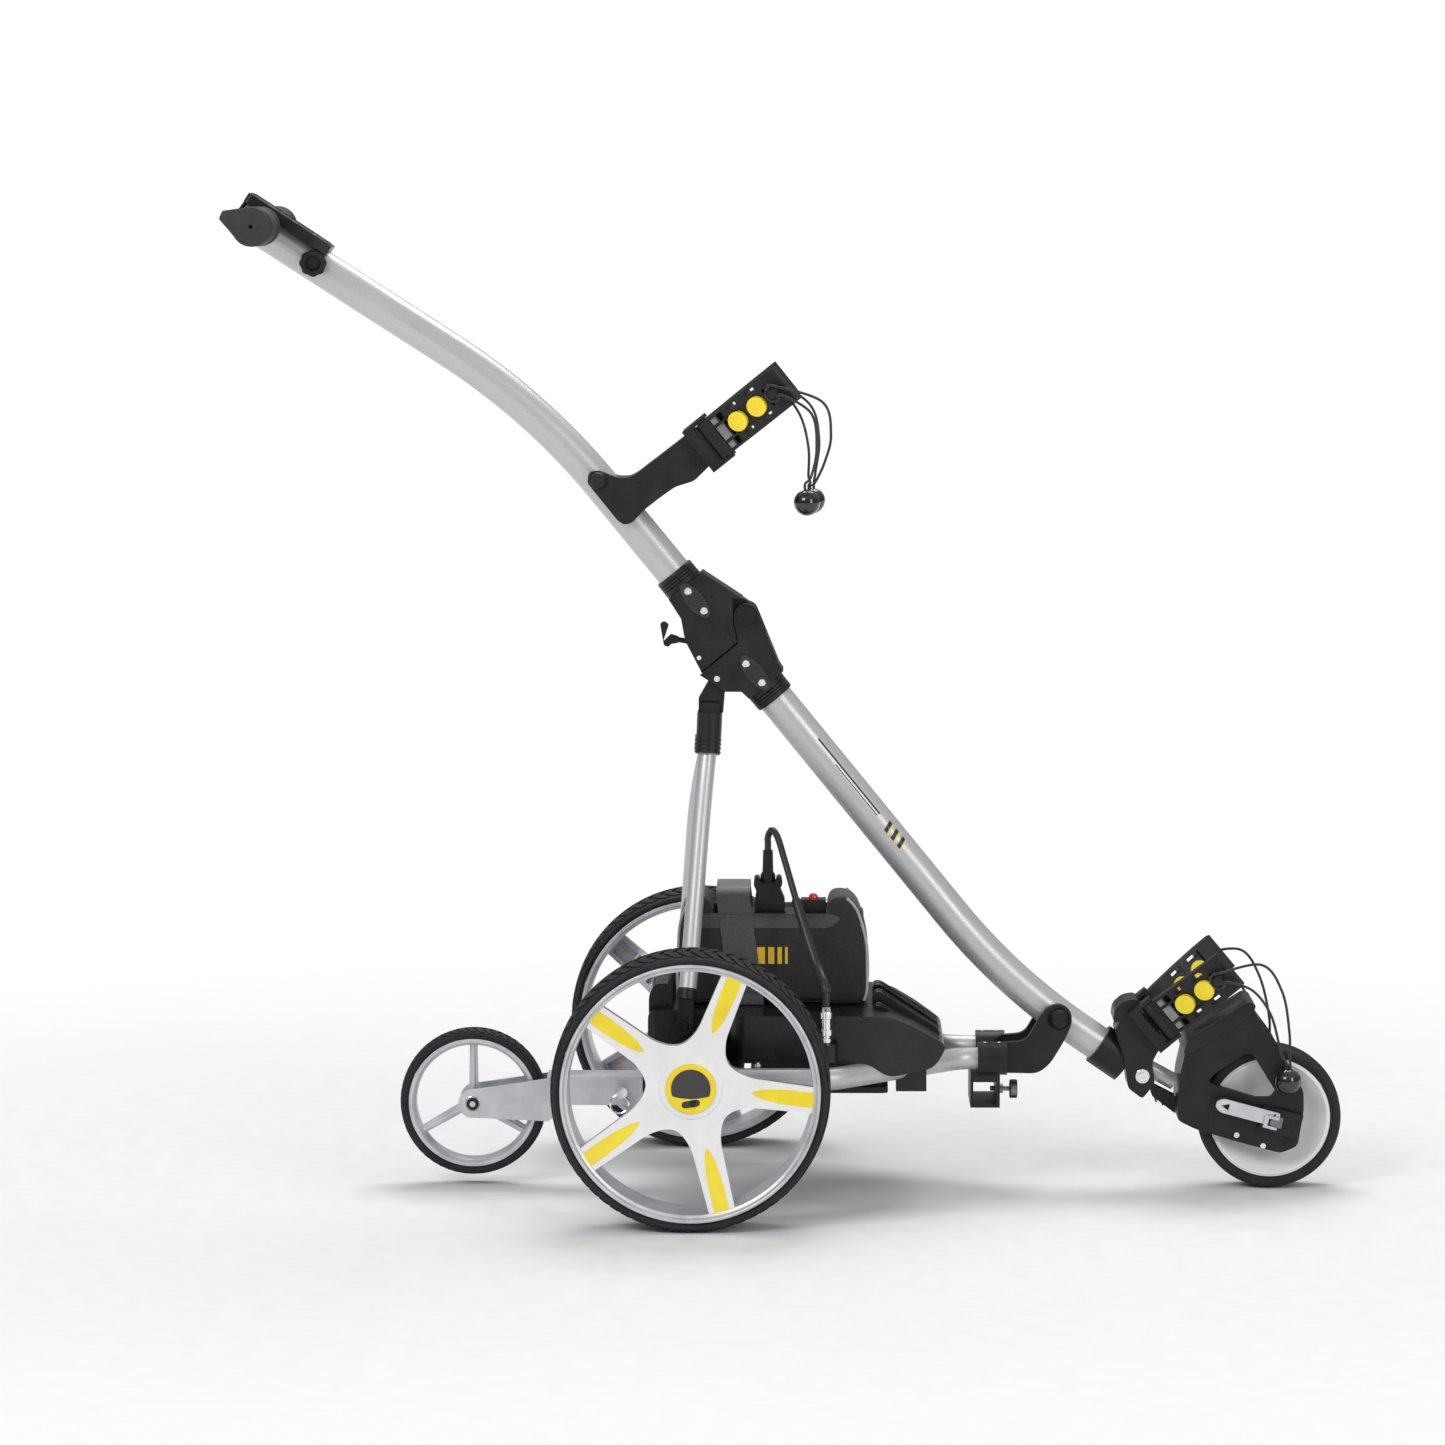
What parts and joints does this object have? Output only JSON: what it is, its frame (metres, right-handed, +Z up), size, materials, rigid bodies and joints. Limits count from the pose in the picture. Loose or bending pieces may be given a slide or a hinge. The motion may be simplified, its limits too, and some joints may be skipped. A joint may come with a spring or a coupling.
{
  "type": "electric golf trolley",
  "caption": "Folding electric golf trolley, silver tubes and black housings, two large rear wheels, small front wheel and a rear anti-tip wheel",
  "frame": {"origin": "centre of the bounding box's base, on the ground", "axes": "+X the way the trolley drives, +Y its left, +Z up"},
  "size_m": [1.2564, 0.595, 1.1235],
  "materials": {
    "silver_tube": "satin",
    "black_plastic": "matte",
    "rubber": "matte",
    "tyre": "matte",
    "white_rim": "satin",
    "silver_rim": "satin",
    "chrome": "polished",
    "dark_steel": "satin",
    "bag_cloth": "matte",
    "webbing": "matte",
    "cable": "satin",
    "red": "gloss"
  },
  "bodies": {
    "chassis": {"chassis_frame": "silver_tube", "axle_housing": "black_plastic", "motor_right": "dark_steel", "motor_left": "dark_steel", "battery_tray": "black_plastic", "controller_unit": "black_plastic", "battery_pack": "black_plastic", "battery_bag": "bag_cloth", "battery_strap": "webbing", "battery_plug": "black_plastic", "battery_lead": "cable", "lead_connector": "chrome", "pivot_bracket": "black_plastic", "anti_tip_frame": "silver_rim"},
    "reset_slide": {"reset_button": "red"},
    "thumb_turn": {"thumb_screw": "dark_steel"},
    "pin_slide": {"anti_tip_pin": "chrome"},
    "anti_tip_wheel": {"anti_tip_tyre": "tyre", "anti_tip_rim": "silver_rim"},
    "rear_wheel_right": {"rear_tyre_right": "tyre", "rear_rim_right": "white_rim"},
    "rear_wheel_left": {"rear_tyre_left": "tyre", "rear_rim_left": "white_rim"},
    "release_slide_right": {"release_right": "black_plastic"},
    "release_slide_left": {"release_left": "black_plastic"},
    "strut_pair": {"strut_right": "silver_tube", "strut_left": "silver_tube", "strut_head": "black_plastic"},
    "lower_frame": {"lower_tube": "silver_tube", "lower_hinge_housing": "black_plastic", "lower_cradle_bracket": "black_plastic", "fork_shell": "black_plastic", "front_axle": "dark_steel"},
    "front_wheel": {"front_tyre": "tyre", "front_rim": "white_rim"},
    "lever": {"cam_lever": "silver_rim"},
    "lower_arm_pivot_right": {"lower_arm_right": "black_plastic", "lower_ball_right": "black_plastic", "lower_bungee_right": "webbing"},
    "lower_arm_pivot_left": {"lower_arm_left": "black_plastic", "lower_ball_left": "black_plastic", "lower_bungee_left": "webbing"},
    "upper_frame": {"upper_tube": "silver_tube", "upper_hinge_housing": "black_plastic", "handle_bar": "silver_tube", "console": "black_plastic", "accessory_port": "black_plastic", "upper_cradle_bracket": "black_plastic", "grip_right": "rubber", "grip_left": "rubber"},
    "power_slide": {"power_button": "rubber"},
    "speed_up_slide": {"speed_up_button": "rubber"},
    "speed_down_slide": {"speed_down_button": "rubber"},
    "wing_turn": {"wing_knob": "black_plastic"},
    "upper_arm_pivot_right": {"upper_arm_right": "black_plastic", "upper_ball_right": "black_plastic", "upper_bungee_right": "webbing"},
    "upper_arm_pivot_left": {"upper_arm_left": "black_plastic", "upper_ball_left": "black_plastic", "upper_bungee_left": "webbing"}
  },
  "joints": [
    {"name": "rear_wheel_right_spin", "type": "hinge", "parent": "chassis", "child": "rear_wheel_right", "pos_m": [-0.1042, -0.26, 0.1525], "axis": [0, 1, 0], "continuous": true},
    {"name": "release_right_press", "type": "slide", "parent": "rear_wheel_right", "child": "release_slide_right", "axis": [0.9848, 0, 0.1736], "range_m": [0, 0.003]},
    {"name": "rear_wheel_left_spin", "type": "hinge", "parent": "chassis", "child": "rear_wheel_left", "pos_m": [-0.1042, 0.26, 0.1525], "axis": [0, 1, 0], "continuous": true},
    {"name": "release_left_press", "type": "slide", "parent": "rear_wheel_left", "child": "release_slide_left", "axis": [0.9848, 0, 0.1736], "range_m": [0, 0.003]},
    {"name": "front_wheel_spin", "type": "hinge", "parent": "lower_frame", "child": "front_wheel", "pos_m": [0.5468, 0, 0.0815], "axis": [0, 1, 0], "continuous": true},
    {"name": "anti_tip_wheel_spin", "type": "hinge", "parent": "chassis", "child": "anti_tip_wheel", "pos_m": [-0.3572, 0, 0.0945], "axis": [0, 1, 0], "continuous": true},
    {"name": "lower_frame_fold", "type": "hinge", "parent": "chassis", "child": "lower_frame", "pos_m": [0.3068, 0, 0.1953], "axis": [0, -1, 0], "range_deg": [0, 8]},
    {"name": "strut_fold", "type": "hinge", "parent": "chassis", "child": "strut_pair", "pos_m": [-0.1152, 0, 0.197], "axis": [0, -1, 0], "range_deg": [0, 32]},
    {"name": "upper_frame_fold", "type": "hinge", "parent": "lower_frame", "child": "upper_frame", "pos_m": [-0.0471, 0, 0.6509], "axis": [0, 1, 0], "range_deg": [0, 110]},
    {"name": "cam_lever_turn", "type": "hinge", "parent": "lower_frame", "child": "lever", "pos_m": [0.5468, -0.056, 0.0815], "axis": [0.2487, 0, 0.9686], "range_deg": [0, 110]},
    {"name": "lower_arm_right_swing", "type": "hinge", "parent": "lower_frame", "child": "lower_arm_pivot_right", "pos_m": [0.4203, -0.036, 0.1945], "axis": [0.6428, 0, -0.766], "range_deg": [0, 20]},
    {"name": "lower_arm_left_swing", "type": "hinge", "parent": "lower_frame", "child": "lower_arm_pivot_left", "pos_m": [0.4203, 0.036, 0.1945], "axis": [-0.6428, 0, 0.766], "range_deg": [0, 20]},
    {"name": "upper_arm_right_swing", "type": "hinge", "parent": "upper_frame", "child": "upper_arm_pivot_right", "pos_m": [-0.0828, -0.036, 0.849], "axis": [0.6252, 0, -0.7804], "range_deg": [0, 20]},
    {"name": "upper_arm_left_swing", "type": "hinge", "parent": "upper_frame", "child": "upper_arm_pivot_left", "pos_m": [-0.0828, 0.036, 0.849], "axis": [-0.6252, 0, 0.7804], "range_deg": [0, 20]},
    {"name": "wing_knob_turn", "type": "hinge", "parent": "upper_frame", "child": "wing_turn", "pos_m": [-0.1272, 0, 0.6222], "axis": [0.9848, 0, -0.1736], "range_deg": [0, 180]},
    {"name": "thumb_screw_turn", "type": "hinge", "parent": "chassis", "child": "thumb_turn", "pos_m": [0.2303, 0, 0.11], "axis": [1, 0, 0], "range_deg": [0, 270]},
    {"name": "anti_tip_pin_pull", "type": "slide", "parent": "chassis", "child": "pin_slide", "axis": [0, -1, 0], "range_m": [0, 0.045]},
    {"name": "reset_button_press", "type": "slide", "parent": "chassis", "child": "reset_slide", "axis": [0, 0, -1], "range_m": [0, 0.002], "stiffness_N_per_m": 400},
    {"name": "power_press", "type": "slide", "parent": "upper_frame", "child": "power_slide", "axis": [-0.5476, 0, -0.8368], "range_m": [0, 0.001], "stiffness_N_per_m": 400},
    {"name": "speed_up_press", "type": "slide", "parent": "upper_frame", "child": "speed_up_slide", "axis": [-0.5476, 0, -0.8368], "range_m": [0, 0.001], "stiffness_N_per_m": 400},
    {"name": "speed_down_press", "type": "slide", "parent": "upper_frame", "child": "speed_down_slide", "axis": [-0.5476, 0, -0.8368], "range_m": [0, 0.001], "stiffness_N_per_m": 400}
  ],
  "couplings": [
    {"joint": "strut_fold", "follows": "lower_frame_fold", "ratio": 4}
  ]
}
